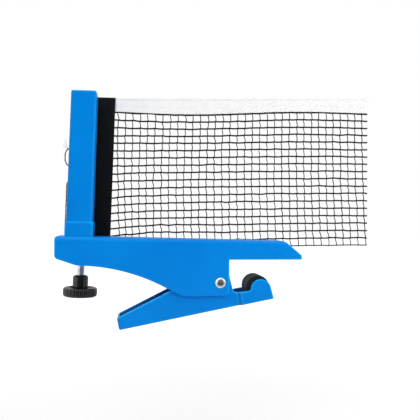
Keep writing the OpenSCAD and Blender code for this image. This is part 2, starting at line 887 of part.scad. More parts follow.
// ---------------------------------------------------------------- height screw

module height_screw() {
    r = screw_d / 2;
    groove = clip_w - 0.05;
    color(STEEL) on_screw() rotate_extrude() polygon([
        [0, screw_low],
        [r, screw_low],
        [r, groove],
        [r - groove_deep, groove],
        [r - groove_deep, groove + clip_t + 0.1],
        [r, groove + clip_t + 0.1],
        [r, bore_top - 0.9],
        [r - 0.8, bore_top - 0.1],
        [0, bore_top - 0.1],
    ]);
}

module screw_knob() {
    r = knob_d / 2;
    hub = hub_d / 2;
    bore = screw_d / 2 + seat_gap;
    low = head_top - knob_h;
    color(BLACK) on_screw() difference() {
        rotate_extrude() polygon(concat(
            [
                [0, screw_low - 0.05],
                [bore, screw_low - 0.05],
                [bore, knob_top],
                [hub - 1.8, knob_top],
                [hub, knob_top - 1.5],
                [hub, head_top - 1.6],
                [r - 4.2, head_top - 1.6],
                [r - 3.6, head_top],
            ],
            arc([r - 2, head_top - 2], 2, 80, 0, 5),
            arc([r - 2.4, low + 2.4], 2.4, 0, -80, 5),
            [
                [r - 5, low],
                [r - 6, low + 1],
                [0, low + 1],
            ]
        ));
        for (i = [0:knob_flutes - 1])
            rotate([0, 0, 360 * i / knob_flutes]) translate([r + 0.7, 0, low - over])
                cylinder(r = 1.3, h = knob_h + 2 * over, $fn = 24);
    }
}

// ---------------------------------------------------------------- assembly

bracket();
screw_nut();
pivot_pin();
pin_cap();
torsion_spring();
lever();
roller_axle();
roller_core();
roller_tyre();
post();
screw_clip();
net_rod();
net_sleeve();
net_mesh();
top_band();
tension_cord();
height_screw();
screw_knob();
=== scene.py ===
# %% [markdown]
# # A table tennis net clamp
# The clamp is a blue moulded bracket with a spring lever and a rubber roller. It grips the edge
# of the table and carries a post, whose height a knob and screw set. The end of the net hangs on
# the post. The solids come from the part's own construction, already to size and in place, so
# this lesson adds what that leaves out: the finish of each surface, the thread of the screw, the
# round wire, and the string, cloth and stitches of the net.

# %% Load the frame
import json
import math
import random

import bmesh
import bpy
from mathutils import Matrix, Vector, noise


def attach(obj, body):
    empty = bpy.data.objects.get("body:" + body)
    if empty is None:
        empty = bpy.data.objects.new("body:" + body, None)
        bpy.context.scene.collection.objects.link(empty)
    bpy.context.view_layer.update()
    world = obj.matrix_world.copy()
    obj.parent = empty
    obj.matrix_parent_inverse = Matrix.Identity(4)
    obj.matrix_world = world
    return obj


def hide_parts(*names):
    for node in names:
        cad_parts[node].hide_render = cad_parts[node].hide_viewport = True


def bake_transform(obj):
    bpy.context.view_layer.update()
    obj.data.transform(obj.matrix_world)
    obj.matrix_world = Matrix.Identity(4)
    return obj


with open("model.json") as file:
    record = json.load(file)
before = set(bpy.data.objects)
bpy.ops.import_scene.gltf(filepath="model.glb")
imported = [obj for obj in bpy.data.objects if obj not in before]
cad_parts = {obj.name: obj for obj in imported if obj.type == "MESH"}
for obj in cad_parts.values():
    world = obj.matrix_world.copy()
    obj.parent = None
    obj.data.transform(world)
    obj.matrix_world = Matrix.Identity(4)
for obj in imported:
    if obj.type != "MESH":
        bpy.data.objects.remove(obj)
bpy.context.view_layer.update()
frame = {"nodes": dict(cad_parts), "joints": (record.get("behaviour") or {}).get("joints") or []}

MM = 0.001
node = frame["nodes"]
print("nodes:", ", ".join(sorted(node)))

# %% [markdown]
# ## The camera
# The camera stands 0.58 m in front of the clamp, just above the bar, and is turned a little
# towards the table. It is almost level, so the uprights stay upright and the top of the bar
# shows only as a thin strip. It could be set by angles, but two points, its eye and its aim, say
# better what it looks at. Its lens is given in pixels of the frame and turned to millimetres.

# %% Camera
EYE = Vector((-85.58, -577.0, 42.1)) * MM
AIM = Vector((-18.8, -17.0, 46.8)) * MM
ROLL = 0.006  # radians
FRAME_PX, FOCAL_PX = 420, 600
SENSOR = 36  # mm


def put(name, data):
    """A new object in the scene."""
    made = bpy.data.objects.new(name, data)
    bpy.context.scene.collection.objects.link(made)
    return made


camera = put("camera", bpy.data.cameras.new("camera"))
camera.data.lens = SENSOR * FOCAL_PX / FRAME_PX
camera.data.sensor_width = SENSOR
camera.location = EYE
turn = (AIM - EYE).to_track_quat("-Z", "Y").to_matrix().to_4x4() @ Matrix.Rotation(ROLL, 4, "Z")
camera.rotation_euler = turn.to_euler()
bpy.context.scene.camera = camera
print("camera lens", round(camera.data.lens, 2), "mm")

# %% [markdown]
# ## Colours and nodes
# A colour that a maker reads off a sample is in sRGB, and a shader wants it linear, so one
# function turns the hex value. One more function adds a node with its settings and its links.
# Nodes could also be wired by hand in the editor, but a script rebuilds them the same each time.

# %% Colours and nodes
def colour(code):
    parts = [int(code[i:i + 2], 16) / 255 for i in (1, 3, 5)]
    return [c / 12.92 if c <= 0.04045 else ((c + 0.055) / 1.055) ** 2.4 for c in parts] + [1.0]


def add(tree, kind, into=None, **settings):
    """Adds a node. A setting is a property, a socket's value, or an output to link to it. A
    socket that shares its name with others is given by its place, such as in_1, and the stops
    of a colour ramp by their places and hex colours."""
    made = tree.nodes.new(kind)
    for i, (place, code) in enumerate(settings.pop("stops", ())):
        made.color_ramp.elements[i].position = place
        made.color_ramp.elements[i].color = colour(code)
    for name, value in settings.items():
        socket = next((s for s in made.inputs if s.name.lower() == name.replace("_", " ").lower()),
                      None)
        if name.startswith("in_"):
            socket = made.inputs[int(name[3:])]
        linked = isinstance(value, bpy.types.NodeSocket)
        if hasattr(made, name) and not (socket and linked):
            setattr(made, name, value)
        elif linked:
            tree.links.new(value, socket)
        else:
            socket.default_value = value
    if into is not None:
        tree.links.new(made.outputs[0], into)
    return made


print("#808080 is", round(colour("#808080")[0], 3), "in a shader")


# %% A material to start from
def finish(name, base, roughness, **shader):
    """A new material with its Principled shader set, ready for its pattern."""
    made = bpy.data.materials.new(name)
    made.use_nodes = True
    tree = made.node_tree
    surface = tree.nodes["Principled BSDF"]
    surface.inputs["Base Color"].default_value = colour(base)
    surface.inputs["Roughness"].default_value = roughness
    for key, value in shader.items():
        surface.inputs[key.replace("_", " ")].default_value = value
    place = add(tree, "ShaderNodeTexCoord").outputs["Object"]
    return made, tree, surface, place


def per_metre(millimetres):
    """The scale that makes a texture's cell that wide."""
    return 1000 / millimetres


print("a 1 mm grain needs the scale", per_metre(1))


# %% Dressing a node
def dress(material, *names):
    """Gives these CAD nodes, which have one slot each, a material."""
    for name in names:
        node[name].material_slots[0].material = material
    print(material.name, "on", ", ".join(names))


print("nodes to dress:", len(node))

# %% [markdown]
# ## Moulded plastic
# The bracket, the lever and the post are injection moulded in blue glass-filled nylon, and the
# knob and the roller's hub in black. The mould was spark eroded, which leaves a fine satin grain
# about a third of a millimetre wide. Walls cool at different rates, so the colour drifts
# slightly over centimetres. Edges get a painted highlight, a paler colour, apart from those that
# face the floor, and the hollows get painted shade, a darker colour. Both could be painted on an
# unwrapped mesh. Here the Bevel node finds the edges and rounds them for the light, and the
# Ambient Occlusion node finds the hollows, so that both follow any shape.

# %% Painted edge highlights
AGREE = 0.998, 0.93  # the cosine between the true and the rounded normal, off and on an edge
FACING = -0.3, -0.1  # how high an edge must face to get some painted highlight, and all of it


def highlighted(tree, reach):
    """How much painted highlight a point gets from an edge that faces up or sideways, 0 to 1."""
    wide = add(tree, "ShaderNodeBevel", samples=8, Radius=reach * MM).outputs["Normal"]
    flat = add(tree, "ShaderNodeNewGeometry").outputs["Normal"]
    match = add(tree, "ShaderNodeVectorMath", operation="DOT_PRODUCT", in_0=wide, in_1=flat)
    near = add(tree, "ShaderNodeMapRange", Value=match.outputs["Value"], From_Min=AGREE[0],
               From_Max=AGREE[1]).outputs["Result"]
    height = add(tree, "ShaderNodeSeparateXYZ", Vector=wide).outputs["Z"]
    faces_up = add(tree, "ShaderNodeMapRange", Value=height, From_Min=FACING[0],
                  From_Max=FACING[1])
    return add(tree, "ShaderNodeMath", operation="MULTIPLY", in_0=near,
               in_1=faces_up.outputs["Result"]).outputs[0]


# The painted highlight is full where the rounding turns this far.
print("fully rubbed where the rounding turns", round(math.degrees(math.acos(AGREE[1]))), "degrees")

# %% Moulded nylon
DRIFT, REACH = 45, 22  # mm: how wide a cloud of colour is, and how far shade reaches
OPEN_AIR = 0.5, 0.1  # the open share where painted shade begins, and where it is full
HIGHLIGHT_WIDTH = 6  # how many roundings wide a painted edge highlight is
UNEVEN = 0.07


def moulded(name, dark, light, edge, painted_shade, grain, roughness, rounding, gloss):
    made, tree, surface, place = finish(name, light, roughness, IOR=1.5, Specular_IOR_Level=gloss)
    cloud = add(tree, "ShaderNodeTexNoise", Vector=place, Scale=per_metre(DRIFT), Detail=2.0)
    drift = add(tree, "ShaderNodeValToRGB", Fac=cloud.outputs["Fac"],
                stops=((0.3, dark), (0.7, light)))
    # Near an edge that faces up or sideways, the colour is painted paler: a painted highlight.
    highlit = add(tree, "ShaderNodeMixRGB", Fac=highlighted(tree, HIGHLIGHT_WIDTH * rounding),
               Color1=drift.outputs["Color"], Color2=colour(edge))
    soft = add(tree, "ShaderNodeBevel", samples=8, Radius=rounding * MM).outputs["Normal"]
    # In hollows the colour is painted darker towards the hollow colour: painted shade.
    open_air = add(tree, "ShaderNodeAmbientOcclusion", samples=8, Distance=REACH * MM)
    depth = add(tree, "ShaderNodeMapRange", Value=open_air.outputs["AO"], From_Min=OPEN_AIR[0],
                From_Max=OPEN_AIR[1])
    add(tree, "ShaderNodeMixRGB", surface.inputs["Base Color"], Fac=depth.outputs["Result"],
        Color1=highlit.outputs[0], Color2=colour(painted_shade))
    satin = add(tree, "ShaderNodeTexNoise", Vector=place, Scale=per_metre(grain), Detail=3.0)
    add(tree, "ShaderNodeMapRange", surface.inputs["Roughness"], Value=satin.outputs["Fac"],
        To_Min=roughness - UNEVEN, To_Max=roughness + UNEVEN)
    add(tree, "ShaderNodeBump", surface.inputs["Normal"], Height=satin.outputs["Fac"],
        Normal=soft, Strength=0.12, Distance=0.05 * MM)
    return made


print("moulded colour drifts over", DRIFT, "mm, and shade reaches", REACH, "mm")


# %% Blue and black
# The edge colours are painted highlights, and the hollow colours are painted shade.
blue = moulded("blue moulded nylon", dark="#0081DD", light="#0089E6", edge="#0AB4FF",
               painted_shade="#000A40", grain=0.35, roughness=0.27, rounding=0.45, gloss=0.1)
black = moulded("black moulded nylon", dark="#0C0C0C", light="#121212", edge="#262626",
                painted_shade="#030303", grain=0.4, roughness=0.22, rounding=0.2, gloss=0.65)
dress(blue, "bracket", "lever", "post")
dress(black, "screw_knob", "roller_core")

# %% [markdown]
# ## Metals
# The pin and the axle are zinc-plated steel, and plating leaves soft cloudy patches a few
# millimetres wide. The nut is turned brass. A plain mirror would be quicker, but it looks like
# chrome. Here one noise drives the tint and the roughness together.

# %% Zinc plate, drawn wire and brass
def plated(name, base, dark, roughness, patch):
    """A metal with patches that wide, in mm."""
    made, tree, surface, place = finish(name, base, roughness, Metallic=1.0)
    cloud = add(tree, "ShaderNodeTexNoise", Vector=place, Scale=per_metre(patch), Detail=4.0,
                Roughness=0.65)
    add(tree, "ShaderNodeValToRGB", surface.inputs["Base Color"], Fac=cloud.outputs["Fac"],
        stops=((0.38, dark), (0.58, base)))
    add(tree, "ShaderNodeMapRange", surface.inputs["Roughness"], Value=cloud.outputs["Fac"],
        From_Min=0.35, From_Max=0.65, To_Min=roughness + 0.15, To_Max=roughness)
    edge = add(tree, "ShaderNodeBevel", samples=6, Radius=0.2 * MM)
    add(tree, "ShaderNodeBump", surface.inputs["Normal"], Height=cloud.outputs["Fac"],
        Normal=edge.outputs["Normal"], Strength=0.3, Distance=0.05 * MM)
    return made


zinc = plated("zinc plated steel", "#FAFAF9", "#BEBEBC", 0.14, 1.8)
bright = plated("bright zinc plated thread", "#F8F6F3", "#E2E0DD", 0.25, 4.0)
wire = plated("drawn spring steel", "#8E9196", "#5B5E63", 0.3, 3.0)
brass = plated("turned brass", "#C9A961", "#A88846", 0.28, 6.0)
dress(zinc, "pivot_pin", "pin_cap", "roller_axle", "net_rod")
dress(wire, "screw_clip")
dress(brass, "screw_nut")

# %% [markdown]
# ## The roller's tyre
# The tyre is solid rubber. Its tread is ground to size on a stone, which tears the surface into
# a coarse matt grain and greys it, while the moulded sides stay black and smooth. The sides are
# painted near black, partly the rubber's own colour and partly painted shade. The tyre could
# have two materials, but the way the surface faces tells the sides from the tread, so one does
# for both. A noise that is stretched along the axle gives the marks of the stone, and one that
# isn't gives the grain. Real grit is finer. It is drawn nearly a millimetre wide, so that it shows.

# %% Ground rubber
rubber, tree, surface, place = finish("ground rubber", "#3A3A3B", 0.85)
facing = add(tree, "ShaderNodeTexCoord").outputs["Normal"]
along_axle = add(tree, "ShaderNodeSeparateXYZ", Vector=facing).outputs["Y"]
square = add(tree, "ShaderNodeMath", operation="ABSOLUTE", in_0=along_axle)
side = add(tree, "ShaderNodeMath", operation="GREATER_THAN", in_0=square.outputs[0], in_1=0.5)
grit = add(tree, "ShaderNodeTexNoise", Vector=place, Scale=per_metre(0.9), Detail=5.0,
           Roughness=0.7)
tread = add(tree, "ShaderNodeValToRGB", Fac=grit.outputs["Fac"],
            stops=((0.36, "#34312F"), (0.66, "#7A756F")))
# The sides are painted near black: partly the rubber's own colour, partly painted shade.
add(tree, "ShaderNodeMixRGB", surface.inputs["Base Color"], Fac=side.outputs[0],
    Color1=tread.outputs["Color"], Color2=colour("#19191A"))
stretched = add(tree, "ShaderNodeMapping", Vector=place, Scale=(1.0, 0.1, 1.0))
torn = add(tree, "ShaderNodeTexNoise", Vector=stretched.outputs[0], Scale=per_metre(0.7),
           Detail=4.0)
both = add(tree, "ShaderNodeMath", operation="ADD", in_0=grit.outputs["Fac"],
           in_1=torn.outputs["Fac"])
strength = add(tree, "ShaderNodeMapRange", Value=side.outputs[0], To_Min=0.9, To_Max=0.15)
add(tree, "ShaderNodeBump", surface.inputs["Normal"], Height=both.outputs[0],
    Strength=strength.outputs["Result"], Distance=0.2 * MM)
dress(rubber, "roller_tyre")

# %% [markdown]
# ## The post's frame
# The post leans a little, and the screw, the sleeve and the net lean with it. Each piece could be
# turned by hand, but a small matrix leans them all alike: it takes a point that is measured along
# the post and puts it in the clamp's own frame. Every piece below is drawn upright in
# millimetres and then leaned once. `u` runs towards the table, `y` to the back and `w` up the
# post from the bar's top.

# %% The post's frame
joint = {j["name"]: j for j in frame["joints"]}
LEAN = 1.7  # degrees
POST_FOOT = Vector((-140.55, 0, 21.544)) * MM
POST_TOP = 135.4
UP = Vector(joint["post_lift"]["axis"]).normalized()
ALONG = Vector((0, 1, 0)).cross(UP).normalized()
mast = Matrix((
    (ALONG.x, 0, UP.x, POST_FOOT.x),
    (0, 1, 0, 0),
    (ALONG.z, 0, UP.z, POST_FOOT.z),
    (0, 0, 0, 1),
))


def on_post(u, y, w):
    return mast @ (Vector((u, y, w)) * MM)


def level(u):
    """How much a level line climbs over the leaning post's own square."""
    return u * math.tan(math.radians(LEAN))


print("the post's top is", round(on_post(0, 0, POST_TOP).z * 1000, 1), "mm over the table")

# %% [markdown]
# Three helpers mend a mesh, make a piece from points and count its triangles. A mesh that is made
# by code can have double or loose points, or faces inside out. That could be put right by hand in
# Edit Mode, but bmesh does it in a few calls, and the same way for every piece.

# %% Mending a mesh
WELD = 1e-7  # metres


def mend(mesh):
    """Joins double points, drops loose ones, turns every face outward and shades it smooth."""
    shape = bmesh.new()
    shape.from_mesh(mesh)
    bmesh.ops.remove_doubles(shape, verts=shape.verts, dist=WELD)
    loose = [v for v in shape.verts if not v.link_faces]
    bmesh.ops.delete(shape, geom=loose, context="VERTS")
    bmesh.ops.recalc_face_normals(shape, faces=shape.faces)
    shape.to_mesh(mesh)
    shape.free()
    mesh.shade_smooth()


print("points within", round(WELD * 1e9), "nm are joined")


# %% A piece and the body that carries it
def piece(name, points, faces, material):
    """A piece from points in metres and the faces between them."""
    mesh = bpy.data.meshes.new(name)
    mesh.from_pydata([tuple(p) for p in points], [], faces)
    mesh.materials.append(material)
    mend(mesh)
    return put(name, mesh)


def carry(made, body, slot, *replaced):
    """Rides a piece on its body, hides the parts it replaces, and reports it. slot is not used."""
    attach(made, body)
    if replaced:
        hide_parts(*replaced)
    made.data.calc_loop_triangles()
    print(f"{made.name}: {len(made.data.loop_triangles)} triangles on the {body}")


# %% [markdown]
# ## The height screw
# An M7 screw has a 60 degree thread that climbs 1 mm a turn. The construction holds it as a
# plain rod. Stripes in a bump map would leave the edge of the rod straight, so the thread is a
# shape: each ring of the mesh has a radius that depends on the angle and on the ring's height.

# %% A turned solid
AROUND = 32


def turned_solid(name, rings, material):
    """A closed solid whose rings are (height, function of the angle that gives the radius)."""
    angles = [2 * math.pi * k / AROUND for k in range(AROUND)]
    points = [(r(a) * math.cos(a), r(a) * math.sin(a), h) for h, r in rings for a in angles]
    faces = [
        (i * AROUND + k, i * AROUND + (k + 1) % AROUND,
         (i + 1) * AROUND + (k + 1) % AROUND, (i + 1) * AROUND + k)
        for i in range(len(rings) - 1) for k in range(AROUND)
    ]
    faces += [tuple(range(AROUND - 1, -1, -1)),
              tuple((len(rings) - 1) * AROUND + k for k in range(AROUND))]
    return piece(name, points, faces, material)


print("each ring has", AROUND, "points")


# %% The thread
PITCH, CREST, ROOT = 1.0, 3.5, 2.89
CREST_HALF, FLANK = 0.07, 0.34  # shares of a turn


def plain(radius):
    return lambda angle: radius


def thread(height):
    """The radius round the screw at a height: a flat crest, two flanks and a flat root."""
    def radius(angle):
        share = (height / PITCH - angle / (2 * math.pi)) % 1
        flank = min(1, max(0, (abs(share - 0.5) - CREST_HALF) / FLANK))
        return ROOT + (CREST - ROOT) * (1 - flank)
    return radius


print("the thread is", round(CREST - ROOT, 2), "mm deep")

# %% [markdown]
# The screw has four stretches, from the knob up: plain inside the knob, threaded up to the
# clip's groove, the groove itself, and a plain tip with a chamfer. They could be four solids, but
# one list of rings leaves no joints between them.

# %% Screw
SCREW_IN = 2.4  # how far towards the table it stands in the post
SCREW_LOW, KNOB_TOP, SCREW_TIP = -53.8, -36.7, 1.9
GROOVE_LOW, GROOVE_HIGH, GROOVE_R = -8.05, -7.05, 2.9
RUN_OUT, STEP, CHAMFER = 0.4, 0.05, 0.8
STEPS_A_TURN = 8
thread_from = KNOB_TOP - 1
count = int((GROOVE_LOW - RUN_OUT - thread_from) * STEPS_A_TURN / PITCH)
rings = [(SCREW_LOW, plain(CREST)), (thread_from, plain(CREST))]
rings += [(thread_from + i * PITCH / STEPS_A_TURN, thread(i * PITCH / STEPS_A_TURN))
          for i in range(1, count)]
rings += [(GROOVE_LOW - STEP, plain(CREST)), (GROOVE_LOW, plain(GROOVE_R)),
          (GROOVE_HIGH, plain(GROOVE_R)), (GROOVE_HIGH + STEP, plain(CREST)),
          (SCREW_TIP - CHAMFER, plain(CREST)), (SCREW_TIP, plain(CREST - CHAMFER))]
screw = turned_solid("threaded_screw", rings, bright)
screw.data.transform(mast @ Matrix.Scale(MM, 4) @ Matrix.Translation((SCREW_IN, 0, 0)))
carry(screw, "screw", "steel", "height_screw")

# %% [markdown]
# ## A recipe for anything round that follows a path
# The spring, the strings of the net and the cord are all a round section that is swept along a
# path. A curve's own bevel could do it, but Geometry Nodes can also store how far along and how
# far round each point lies, so that a material can wind a twist about the string. The recipe has
# its sizes as named inputs and does every path in an object at once.

# %% A tree with named inputs
def group(name, **inputs):
    """A Geometry Nodes tree and its group input."""
    kinds = {float: "NodeSocketFloat", int: "NodeSocketInt"}
    tree = bpy.data.node_groups.new(name, "GeometryNodeTree")
    tree.interface.new_socket("Geometry", in_out="INPUT", socket_type="NodeSocketGeometry")
    tree.interface.new_socket("Geometry", in_out="OUTPUT", socket_type="NodeSocketGeometry")
    for key, value in inputs.items():
        kind = kinds.get(type(value), "NodeSocketMaterial")
        socket = tree.interface.new_socket(key.replace("_", " "), in_out="INPUT", socket_type=kind)
        if value is not None:
            socket.default_value = value
    return tree, add(tree, "NodeGroupInput")


def close(tree, start, shape):
    """The end of every recipe: the shape is made real and gets its material."""
    real = add(tree, "GeometryNodeRealizeInstances", Geometry=shape.outputs[0])
    done = add(tree, "GeometryNodeSetMaterial", Geometry=real.outputs[0],
               Material=start.outputs["Material"])
    tree.links.new(done.outputs[0], add(tree, "NodeGroupOutput").inputs[0])
    return tree


print("every recipe starts with group and ends with close")


# %% Running a tree
def grow(name, start, tree, material, **values):
    """Runs a tree on an object and keeps the plain mesh that comes out."""
    modifier = start.modifiers.new("recipe", "NODES")
    modifier.node_group = tree
    names = {s.name: s.identifier for s in tree.interface.items_tree if s.in_out == "INPUT"}
    for key, value in values.items():
        modifier[names[key.replace("_", " ")]] = value
    modifier[names["Material"]] = material
    bpy.context.view_layer.update()
    ready = start.evaluated_get(bpy.context.evaluated_depsgraph_get())
    mesh = bpy.data.meshes.new_from_object(ready)
    mesh.name = name
    bpy.data.objects.remove(start)
    mend(mesh)
    return put(name, mesh)


print("grow turns an object and a recipe into a plain mesh")


# %% Paths
def paths(lines):
    """A curve object with one open path for each list of points."""
    data = bpy.data.curves.new("paths", "CURVE")
    data.dimensions = "3D"
    for line in lines:
        spline = data.splines.new("POLY")
        spline.points.add(len(line) - 1)
        for point, place in zip(spline.points, line):
            point.co = (*place, 1)
    return put("paths", data)


print("paths turns lists of points into one curve object")


# %% The sweeping recipe
def sweeping():
    tree, start = group("sweep a round section", Radius=0.5 * MM, Sides=8, Material=None)
    length = add(tree, "GeometryNodeSplineParameter")
    kept = add(tree, "GeometryNodeStoreNamedAttribute", data_type="FLOAT", domain="POINT",
               Geometry=start.outputs["Geometry"], Name="along", Value=length.outputs["Length"])
    ring = add(tree, "GeometryNodeCurvePrimitiveCircle", Resolution=start.outputs["Sides"],
               Radius=start.outputs["Radius"])
    around = add(tree, "GeometryNodeSplineParameter")
    marked = add(tree, "GeometryNodeStoreNamedAttribute", data_type="FLOAT", domain="POINT",
                 Geometry=ring.outputs["Curve"], Name="around", Value=around.outputs["Factor"])
    tube = add(tree, "GeometryNodeCurveToMesh", Curve=kept.outputs[0],
               Profile_Curve=marked.outputs[0], Fill_Caps=True)
    return close(tree, start, tube)


sweep = sweeping()
print("sweeping recipe:", len(sweep.nodes), "nodes")

# %% [markdown]
# ## The torsion spring
# The spring sits round the pin inside the pivot block. One leg stands against the block's stop
# wall and the other lies along the lever, so it turns the lever shut. The path is a helix with
# two straight legs. When the lever turns, the front leg stays with the clamp, the back leg goes
# with the lever, and the coil winds up between them. Here the spring is drawn in one pose and
# rides on no body.

# %% Spring wire
COIL_R, COIL_PITCH, COIL_TURNS, WIRE_R = 4.4, 1.9, 6, 0.84
TILT, LEG = 11, 13  # the back leg's slope in degrees, and the front leg's height
COIL_STEPS = 270
pivot = Vector(joint["lever_pivot"]["pos_m"])
turned = 90 - TILT + 360 * COIL_TURNS
width = COIL_PITCH * turned / 360
angles = [-math.radians(turned * i / COIL_STEPS) for i in range(COIL_STEPS + 1)]
coil = [Vector((COIL_R * math.cos(a), width * (i / COIL_STEPS - 0.5), COIL_R * math.sin(a)))
        for i, a in enumerate(angles)]
back = Vector((-math.cos(math.radians(TILT)), 0, -math.sin(math.radians(TILT))))
front_leg = [Vector((COIL_R, -width / 2, LEG * share)) for share in (1, 0.4)]
back_leg = [coil[-1] + LEG * share * back for share in (0.6, 1.3)]
route = [pivot + p * MM for p in [*front_leg, *coil, *back_leg]]
spring = grow("spring_wire", paths([route]), sweep, wire, Radius=WIRE_R * MM, Sides=12)
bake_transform(spring)
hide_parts("torsion_spring")

# %% [markdown]
# ## Cloth
# Polyester canvas is woven so finely that its threads would vanish, so the weave is drawn at
# 0.6 mm. Modelled threads would take millions of faces, so two waves at right angles draw them
# in the bump, and a slow noise makes the cloth uneven. The white band is a softer tape.

# %% Woven cloth
THREAD_WIDE = 0.6
WEAVE = 2 * math.pi / (20 * 2 * THREAD_WIDE * MM)  # a wave repeats every 2 pi / (20 scale)


def woven(name, base, shade, roughness, sheen, depth):
    made, tree, surface, place = finish(name, base, roughness, Sheen_Weight=sheen,
                                        Sheen_Roughness=0.5, Specular_IOR_Level=0.2)
    warp, weft = [
        add(tree, "ShaderNodeTexWave", Vector=place, wave_type="BANDS", bands_direction=direction,
            Scale=WEAVE, Distortion=0.6, Detail=1.0, Detail_Scale=2.0)
        for direction in "XZ"
    ]
    cloth = add(tree, "ShaderNodeMath", operation="MULTIPLY", in_0=warp.outputs["Fac"],
                in_1=weft.outputs["Fac"])
    slub = add(tree, "ShaderNodeTexNoise", Vector=place, Scale=per_metre(6), Detail=3.0)
    add(tree, "ShaderNodeValToRGB", surface.inputs["Base Color"], Fac=slub.outputs["Fac"],
        stops=((0.35, shade), (0.65, base)))
    add(tree, "ShaderNodeBump", surface.inputs["Normal"], Height=cloth.outputs[0],
        Strength=depth, Distance=0.15 * MM)
    return made


canvas = woven("black woven canvas", "#101011", "#0A0A0B", 0.85, 0.04, 0.5)
tape = woven("white woven tape", "#FAFAF9", "#F5F5F3", 0.9, 0.05, 0.2)
print("the weave's scale is", round(WEAVE))

# %% [markdown]
# ## String
# A net's string is plied: two strands are wound about each other every two millimetres. The
# sweeping recipe stored how far along and round each point lies, and a sine of their sum draws
# the plies. A texture in plain space would cut across the string, but this twist follows it.

# %% Plied string
def plied(name, base, shade, pitch):
    made, tree, surface, _ = finish(name, base, 0.65, Specular_IOR_Level=0.3)
    along = add(tree, "ShaderNodeAttribute", attribute_name="along").outputs["Fac"]
    around = add(tree, "ShaderNodeAttribute", attribute_name="around").outputs["Fac"]
    turns = add(tree, "ShaderNodeMath", operation="MULTIPLY", in_0=along,
                in_1=2 * math.pi / (pitch * MM))
    wound = add(tree, "ShaderNodeMath", operation="MULTIPLY_ADD", in_0=around, in_1=4 * math.pi,
                in_2=turns.outputs[0])
    plies = add(tree, "ShaderNodeMath", operation="SINE", in_0=wound.outputs[0])
    height = add(tree, "ShaderNodeMapRange", Value=plies.outputs[0], From_Min=-1.0)
    # The grooves between the plies are painted darker: painted shade.
    add(tree, "ShaderNodeValToRGB", surface.inputs["Base Color"], Fac=height.outputs["Result"],
        stops=((0.0, shade), (1.0, base)))
    add(tree, "ShaderNodeBump", surface.inputs["Normal"], Height=plies.outputs[0],
        Strength=0.5, Distance=0.1 * MM)
    return made


row_string = plied("black nylon string", "#1C1C1C", "#080808", 2.0)
column_string = plied("grey-black nylon string", "#3A3A3A", "#1C1C1C", 2.0)
hem_string = plied("grey nylon string", "#6A6A6C", "#3E3E40", 2.4)
print("three strings")

# %% [markdown]
# ## The net
# A table tennis net has square meshes a little over 7.5 mm. Its rows rise away from the post,
# and its columns stay close to upright. String never hangs quite straight: the top rows swing
# below their line near the post, the ends of the low ones droop, and the columns bow. A sheet
# with holes in its material would look flat from the side, so every string is a real one. A few
# smooth terms bend them, and chance moves every knot a little more, always the same way for the
# same seed.

# %% Straight lines of the net
NET_BACK, EDGE = 20.0, 27.8
ROWS, COLUMNS, SPACING = 19, 34, 7.6
MESH_FOOT, LOW_RISE, TOP_RISE = -14.5, 1.3, 1.4  # the rises are in degrees
FIRST, LAST, GATHER = 3.9, 3.2, 0.035  # the end meshes, and how much narrower the top is


def on_row(i, s):
    """A point of row i at the distance s from the sleeve, as u and w."""
    rise = math.radians(LEAN + LOW_RISE + (TOP_RISE - LOW_RISE) * i / (ROWS - 1))
    return EDGE + s * math.cos(rise), MESH_FOOT + i * SPACING + s * math.sin(rise)


def column_at(i, j):
    """How far column j stands from the sleeve at row i."""
    return FIRST + j * SPACING * (1 + GATHER * (0.5 - i / (ROWS - 1)))


def row_length(i):
    return column_at(0, COLUMNS - 1) + LAST - level(i * SPACING)


BAND_LONG = row_length(ROWS - 1)
print("rows", round(BAND_LONG, 1), "to", round(row_length(0), 1), "mm long")


# %% How the string hangs
MIDDLE_ROW = (ROWS - 1) / 2
DROOP, RAISED = 1.1, 0.9  # a row's ends, and its middle
GATHERED, NEAR = 1.1, 9  # beside the sleeve, and how far out that reaches
TOP_SAG, TOP_ENDS, TOP_SWING = 2.6, 1.6, 1.4  # for the top row
SWING_FROM, SWING_LONG = 0.08, 0.85  # shares of the row
LIFT, LIFT_ROW, LIFT_ROWS, LIFT_AT, LIFT_LONG = 1.7, 2, 1.5, 50, 35  # a place pulled up


def hang(i, s):
    """How far row i hangs below its line at s, in mm."""
    share = s / row_length(i)
    ends = abs(2 * share - 1) ** 3
    upper = max(0, (i - MIDDLE_ROW) / MIDDLE_ROW) ** 1.5
    beside = math.exp(-s / NEAR) if i < MIDDLE_ROW else 0
    lift = (math.exp(-((i - LIFT_ROW) / LIFT_ROWS) ** 2)
            * math.exp(-((s - LIFT_AT) / LIFT_LONG) ** 2))
    swing = math.sin(2 * math.pi * (share - SWING_FROM) / SWING_LONG)
    top = TOP_SAG - TOP_ENDS * ends + TOP_SWING * swing
    return DROOP * ends - RAISED + upper * top + GATHERED * beside - LIFT * lift


print("the top row's middle hangs", round(hang(ROWS - 1, BAND_LONG / 2), 1), "mm low")

# %% How the columns bow
FAN, SHIFT, CURVE = 3.1, 0.3, 1.1  # apart, all towards the sleeve, and at both ends away
BELLY = 1.3  # towards the sleeve at mid height
PULL, PULLED = 6.9, 3  # away from it at the foot, and how many columns feel that


def bow(i, j):
    """How far column j bows away from the sleeve at row i, in mm."""
    share, height = j / (COLUMNS - 1), i / (ROWS - 1)
    return (FAN * (share - 0.5) - SHIFT + CURVE * (2 * share - 1) ** 2
            - BELLY * math.sin(math.pi * height) + PULL * (1 - height) * math.exp(-j / PULLED))


STRAY = 0.3, 0.12, 0.2  # how far chance moves a knot along, back and up
chance = random.Random(7)
knots = {}
for i in range(ROWS):
    for j in range(COLUMNS):
        s = column_at(i, j) + bow(i, j)
        u, w = on_row(i, s)
        knots[i, j] = (u + chance.gauss(0, STRAY[0]), NET_BACK + chance.gauss(0, STRAY[1]),
                       w - hang(i, s) + chance.gauss(0, STRAY[2]))
print("knots:", len(knots))

